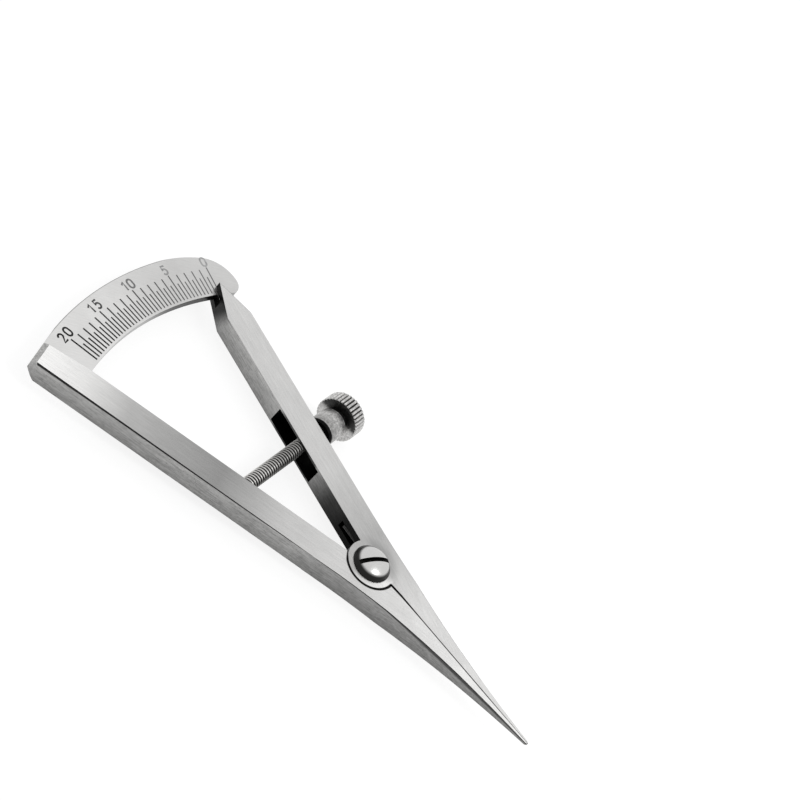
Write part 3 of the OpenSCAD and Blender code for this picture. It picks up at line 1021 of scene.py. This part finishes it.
def make_screw():
    """The pivot's screw: a crowned, slotted head on the front and a small dome at the rear."""
    seat = HALF_T + LAP_GAP / 2
    slot_floor = seat + HEAD_H - SLOT_D
    crown = dome(HEAD_R, HEAD_H - HEAD_RIM, 24, seat + HEAD_RIM)
    top = [(r, z - CROWN_DROP) for r, z in crown if r < CROWN_R]
    for i in range(SHOULDER_STEPS):
        r, z = top[0]
        fall = math.tan(math.radians(SHOULDER_SLOPE + SHOULDER_BEND * i))
        top.insert(0, (r + SHOULDER_STEP, z - SHOULDER_STEP * fall))
    rear = dome(SCREW_R, SCREW_CROWN, 8, HALF_T + SCREW_OUT - SCREW_CROWN)
    low = [(r, -z) for r, z in reversed(rear)]
    under = [(SCREW_R, seat), (HEAD_R - HEAD_BEVEL, seat), (HEAD_R, seat + HEAD_BEVEL)]
    piece = lathe("pivot_screw_polished", low + under + top, 128)
    piece.data.materials.append(BRIGHT)
    cutter = slot_cutter(slot_floor)
    carve(piece, cutter)
    edges = piece.modifiers.new("edges", "BEVEL")
    edges.limit_method = "ANGLE"
    edges.angle_limit = math.radians(35)
    edges.width = SLOT_ROUND
    edges.segments = 2
    settle(piece, "fixed_leg", "bright_steel", "pivot_screw", crease=50)
    bpy.data.objects.remove(cutter)
    bm = bmesh.new()
    bm.from_mesh(piece.data)
    bmesh.ops.remove_doubles(bm, verts=bm.verts, dist=SLIVER * MM)
    bmesh.ops.dissolve_degenerate(bm, edges=bm.edges, dist=SLIVER * MM)
    bm.to_mesh(piece.data)
    bm.free()
    # The slot's walls and floor take the wall finish, painted near black as shade
    piece.data.materials.append(SLOT_WALL)
    slot_dir = Vector((math.cos(SLOT_TURN), math.sin(SLOT_TURN), 0))
    for face in piece.data.polygons:
        middle = (face.center - PIVOT) / MM
        beside = abs(slot_dir.cross(middle).z)
        upright = abs(face.normal.z) < 0.2
        wall = upright and beside < SLOT_W / 2 + SLIVER * 2 and middle.z > slot_floor - NEAR / 2
        floor = beside < SLOT_W / 2 and abs(middle.z - slot_floor) < NEAR
        if wall or floor:
            face.material_index = 1


def make_spring():
    """Hairpin spring: an arm in each leg and a loop round the screw, as one tube."""
    across, along = leg_ways(MOVING)
    end = across * (U_IN + ARM_IN) + along * ARM_LEN
    lean = math.atan2(end.y, end.x) - math.acos(LOOP_R / end.length)
    start = Vector((LOOP_R * math.cos(lean), LOOP_R * math.sin(lean), 0))
    arm = [end.lerp(start, i / 16) for i in range(16)]
    turns = [lean - (math.pi + 2 * lean) * i / 48 for i in range(49)]
    loop = [LOOP_R * Vector((math.cos(turn), math.sin(turn), 0)) for turn in turns]
    other_arm = [Vector((-p.x, p.y, 0)) for p in reversed(arm)]
    drawn = path_object("spring_path", [(1.0, arm + loop + other_arm)])
    drawn.data.bevel_depth = WIRE_R
    drawn.data.bevel_resolution = 4
    drawn.data.use_fill_caps = True
    piece = add_object("pivot_spring_wire", taken_mesh(drawn))
    piece.data.materials.clear()
    piece.data.materials.append(WIRE)
    settle(piece, None, "spring_steel", "pivot_spring")
    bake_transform(piece)


def thread_tree():
    """Rod whose surface rises and falls along a helix, with a tapered start at each end."""
    g, size = new_tree(
        "screw_thread", Length=20.0, Pitch=ROD_PITCH, Crest=ROD_R, Root=ROD_R - THREAD_D,
        Sides=40, Rings=200, Lead=0.7, LeadDrop=0.1, Steep=1.5, Flat=0.2)
    rod = g.node("GeometryNodeMeshCylinder", None, {
        "Vertices": size["Sides"], "Side Segments": size["Rings"], "Radius": 1.0, "Depth": size["Length"]})
    x = g.node("ShaderNodeSeparateXYZ", None, {0: g.node("GeometryNodeInputPosition")})
    y = x.other("Y")
    z = x.other("Z")
    turn = y.math("ARCTAN2", x) / (2 * math.pi)
    wave = abs((z / size["Pitch"] - turn) % 1 - 0.5) * 2
    tooth = (wave * size["Steep"] - size["Flat"]).clamped()
    depth = size["Crest"] - size["Root"]
    lead = ((size["Length"] / 2 - abs(z)) / size["Lead"]).clamped()
    reach = (size["Root"] - size["LeadDrop"]) + (depth + size["LeadDrop"]) * lead
    radius = (size["Root"] + depth * tooth).math("MINIMUM", reach)
    radius = radius * (x * x + y * y) ** 0.5
    angle = turn * 2 * math.pi
    shaped = g.node("GeometryNodeSetPosition", None, {
        "Geometry": rod,
        "Position": g.vector(angle.math("COSINE") * radius, angle.math("SINE") * radius, z)})
    return close_tree(g, shaped, THREAD)


def make_rod():
    """The threaded rod, and the flat eye by which it swings on its pin."""
    rings_a_turn = 9
    length = ROD_LEN - NECK_S + NECK_LAP
    rings = int(length / ROD_PITCH * rings_a_turn)
    thread = grow(add_object("rod_thread"), thread_tree(), Length=length, Rings=rings)
    middle = ROD_FRAME @ Matrix.Translation((0, 0, ROD_LEN - length / 2))
    settle(thread, "adjusting_rod", "rod_steel", "adjusting_rod", crease=75, place=middle)
    neck = ROD_R * 0.86
    neck_end = NECK_S + 0.3
    outline = [(neck_end, neck)] + arc_points(0, 0, EYE_R, EYE_R, 40, 320, 40) + [(neck_end, -neck)]
    bm = bmesh.new()
    flat = bm.faces.new([bm.verts.new((a, b, -EYE_T / 2)) for a, b in outline])
    raised = bmesh.ops.extrude_face_region(bm, geom=[flat])
    lifted = [v for v in raised["geom"] if isinstance(v, bmesh.types.BMVert)]
    bmesh.ops.translate(bm, vec=(0, 0, EYE_T), verts=lifted)
    bmesh.ops.recalc_face_normals(bm, faces=bm.faces)
    eye = from_bmesh("rod_eye", bm)
    eye.data.materials.append(THREAD)
    hole = lathe("eye_cutter", [(0, -3), (PIN_HOLE_R, -3), (PIN_HOLE_R, 3), (0, 3)], 48)
    carve(eye, hole)
    round_edges(eye, EYE_ROUND)
    settle(eye, "adjusting_rod", "rod_steel", place=EYE_FRAME)
    bpy.data.objects.remove(hole)


def make_hub():
    """The nut's bush: a rounded bearing end, a neck before the wheel, and the spigot inside the wheel."""
    bore = ROD_R + NUT_FIT
    end = WHEEL_S + WHEEL_W - BORE_D
    bearing = [
        (bore + BORE_BEVEL, 0), (HUB_R - HUB_BEVEL, 0), (HUB_R - 0.14, HUB_BEVEL - 0.16),
        (HUB_R - 0.04, HUB_BEVEL - 0.02), (HUB_R, HUB_BEVEL + 0.12)]
    lip = [(HUB_R, HUB_LEN - 0.16), (HUB_R - 0.05, HUB_LEN - 0.05), (HUB_R - 0.14, HUB_LEN)]
    neck = [(HUB_NECK_R, HUB_LEN), (HUB_NECK_R, WHEEL_S)]
    spigot = [(SPIGOT_R, WHEEL_S), (SPIGOT_R, end - SPIGOT_BEVEL), (SPIGOT_R - SPIGOT_BEVEL, end)]
    inside = [(bore + BORE_BEVEL, end), (bore, end - BORE_BEVEL), (bore, BORE_BEVEL)]
    piece = lathe("nut_bush", bearing + lip + neck + spigot + inside)
    piece.data.materials.append(NUT)
    settle(piece, "nut_hub", "bright_steel", "nut_hub", place=HUB_FRAME)


def rim_tree():
    """Knurled rim: a tube whose radius follows straight teeth, cut back by the bevels at its ends."""
    g, size = new_tree(
        "knurled_rim", Teeth=TEETH, Across=TOOTH_SIDES, Rings=22, Crest=WHEEL_R, Root=WHEEL_R - TOOTH_D,
        Width=WHEEL_W, Bevel=WHEEL_BEVEL, Steep=2.6, Flat=0.2)
    tube = g.node("GeometryNodeMeshCylinder", {"fill_type": "NONE"}, {
        "Vertices": size["Teeth"] * size["Across"], "Side Segments": size["Rings"],
        "Radius": 1.0, "Depth": size["Width"]})
    x = g.node("ShaderNodeSeparateXYZ", None, {0: g.node("GeometryNodeInputPosition")})
    y = x.other("Y")
    z = x.other("Z")
    turn = y.math("ARCTAN2", x)
    wave = abs((turn / (2 * math.pi) * size["Teeth"]) % 1 - 0.5) * 2
    tooth = (wave * size["Steep"] - size["Flat"]).clamped()
    from_end = size["Width"] / 2 - abs(z)
    limit = size["Crest"] - (size["Bevel"] - from_end).math("MAXIMUM", 0.0)
    radius = (size["Root"] + (size["Crest"] - size["Root"]) * tooth).math("MINIMUM", limit)
    shaped = g.node("GeometryNodeSetPosition", None, {
        "Geometry": tube, "Position": g.vector(x * radius, y * radius, z)})
    return close_tree(g, shaped, NUT)


def make_wheel():
    """The knurled wheel: its rim, and its bored end faces, which are fitted to the rim's ends."""
    low = LAP_GAP
    width = WHEEL_W - LAP_GAP
    bore = SPIGOT_R + NUT_FIT
    step = bore + STEP_W
    step_floor = WHEEL_W - BORE_D / 2
    edge = WHEEL_R - WHEEL_BEVEL
    rim = taken_mesh(grow(add_object("wheel_rim"), rim_tree(), Width=width))
    rim.transform(Matrix.Translation((0, 0, low + width / 2)))
    faces = lathe("wheel_faces", [
        (edge, low), (bore, low), (bore, step_floor), (step, step_floor),
        (step, WHEEL_W - WHEEL_BEVEL), (step + WHEEL_BEVEL, WHEEL_W), (edge, WHEEL_W)], TEETH * TOOTH_SIDES)
    bm = bmesh.new()
    bm.from_mesh(faces.data)
    bpy.data.objects.remove(faces)
    outer = [v for v in bm.verts if abs(v.co.xy.length - edge) < SLIVER]
    band = [face for face in bm.faces if all(v in outer for v in face.verts)]
    bmesh.ops.delete(bm, geom=band, context="FACES")
    for height in (low, WHEEL_W):
        rim_end = [v.co.copy() for v in rim.vertices if abs(v.co.z - height) < SLIVER]
        for v in outer:
            if abs(v.co.z - height) < SLIVER:
                way = v.co.xy
                v.co = max(rim_end, key=lambda place: place.xy.normalized().dot(way))
    bm.from_mesh(rim)
    bmesh.ops.remove_doubles(bm, verts=bm.verts, dist=SLIVER * 2)
    bmesh.ops.recalc_face_normals(bm, faces=bm.faces)
    for face in bm.faces:
        face.material_index = 0
    piece = from_bmesh("knurled_wheel_cut", bm)
    piece.data.materials.append(NUT)
    place = HUB_FRAME @ Matrix.Translation((0, 0, WHEEL_S))
    settle(piece, "knurled_wheel", "bright_steel", "knurled_wheel", crease=38, place=place)


def make_stage():
    """Plain pale floor that stays near white in the picture and in the metal, and keeps a light shadow."""
    half_width = 2.0
    drop = 0.02 * MM
    bm = bmesh.new()
    bmesh.ops.create_grid(bm, x_segments=2, y_segments=2, size=half_width)
    floor = from_bmesh("floor", bm)
    floor.location.z = -drop
    finish = bpy.data.materials.new("pale_floor")
    g = empty_graph(finish)
    place = g.node("ShaderNodeTexCoord", None, None, out="Object")
    tint = g.blend(g.noise(place, 6.0, 2, 0.5), (0.93, 0.93, 0.93), (0.95, 0.95, 0.95))
    matt = g.node("ShaderNodeBsdfPrincipled", None, {
        "Base Color": tint, "Roughness": 0.9, "Specular IOR Level": 0.1})
    glow = g.node("ShaderNodeEmission", None, {"Color": (1, 1, 1, 1), "Strength": 1.1})
    path = g.node("ShaderNodeLightPath", None, None, out="Is Camera Ray")
    seen = path.math("MAXIMUM", path.other("Is Glossy Ray")) * 0.72
    mixed = g.node("ShaderNodeMixShader", None, {0: seen, 1: matt, 2: glow})
    g.node("ShaderNodeOutputMaterial", None, {"Surface": mixed})
    floor.data.materials.append(finish)


def make_light():
    """Soft sky, brighter toward the far right, and one large lamp; sizes in metres."""
    bright_side = Vector((0.8, 0.1, 0.6)).normalized()
    lamp_place = Vector((0.02, -0.25, 0.42))
    world = bpy.data.worlds.new("studio")
    bpy.context.scene.world = world
    g = empty_graph(world)
    way = g.node("ShaderNodeTexCoord", None, None, out="Generated")
    toward = g.node(
        "ShaderNodeVectorMath", {"operation": "DOT_PRODUCT"}, {0: way, 1: tuple(bright_side)}, out="Value")
    level = 0.62 + 0.38 * toward.step(-0.5, 0.95)
    sky = g.node("ShaderNodeBackground", None, {"Color": (1, 1, 1, 1), "Strength": level})
    g.node("ShaderNodeOutputWorld", None, {"Surface": sky})
    lamp = bpy.data.lights.new("soft_box", "AREA")
    lamp.shape = "DISK"
    lamp.size = 0.2
    lamp.energy = 0.38
    box = add_object("soft_box", lamp)
    box.location = lamp_place
    box.rotation_euler = (-lamp_place).to_track_quat("-Z", "Y").to_euler()


def make_camera():
    """The camera at the photograph's view."""
    data = bpy.data.cameras.new("camera")
    data.lens = 87.75
    data.sensor_width = 36
    data.clip_start = 0.005
    camera = add_object("camera", data)
    aimed = (CAMERA_AIM - CAMERA_PLACE).to_track_quat("-Z", "Y").to_matrix().to_4x4()
    roll = Matrix.Rotation(math.radians(CAMERA_ROLL), 4, "Z")
    camera.matrix_world = Matrix.Translation(PIVOT + CAMERA_PLACE * MM) @ aimed @ roll
    bpy.context.scene.camera = camera


make_camera()
make_light()
make_stage()
make_leg("fixed_leg", FIXED, FIXED_FACE, FIXED_SIDE)
make_leg("moving_leg", MOVING, MOVING_FACE, MOVING_SIDE)
make_scale()
make_pin()
make_graduations()
make_screw()
make_spring()
make_rod()
make_hub()
make_wheel()
bpy.context.scene.view_settings.view_transform = "Standard"
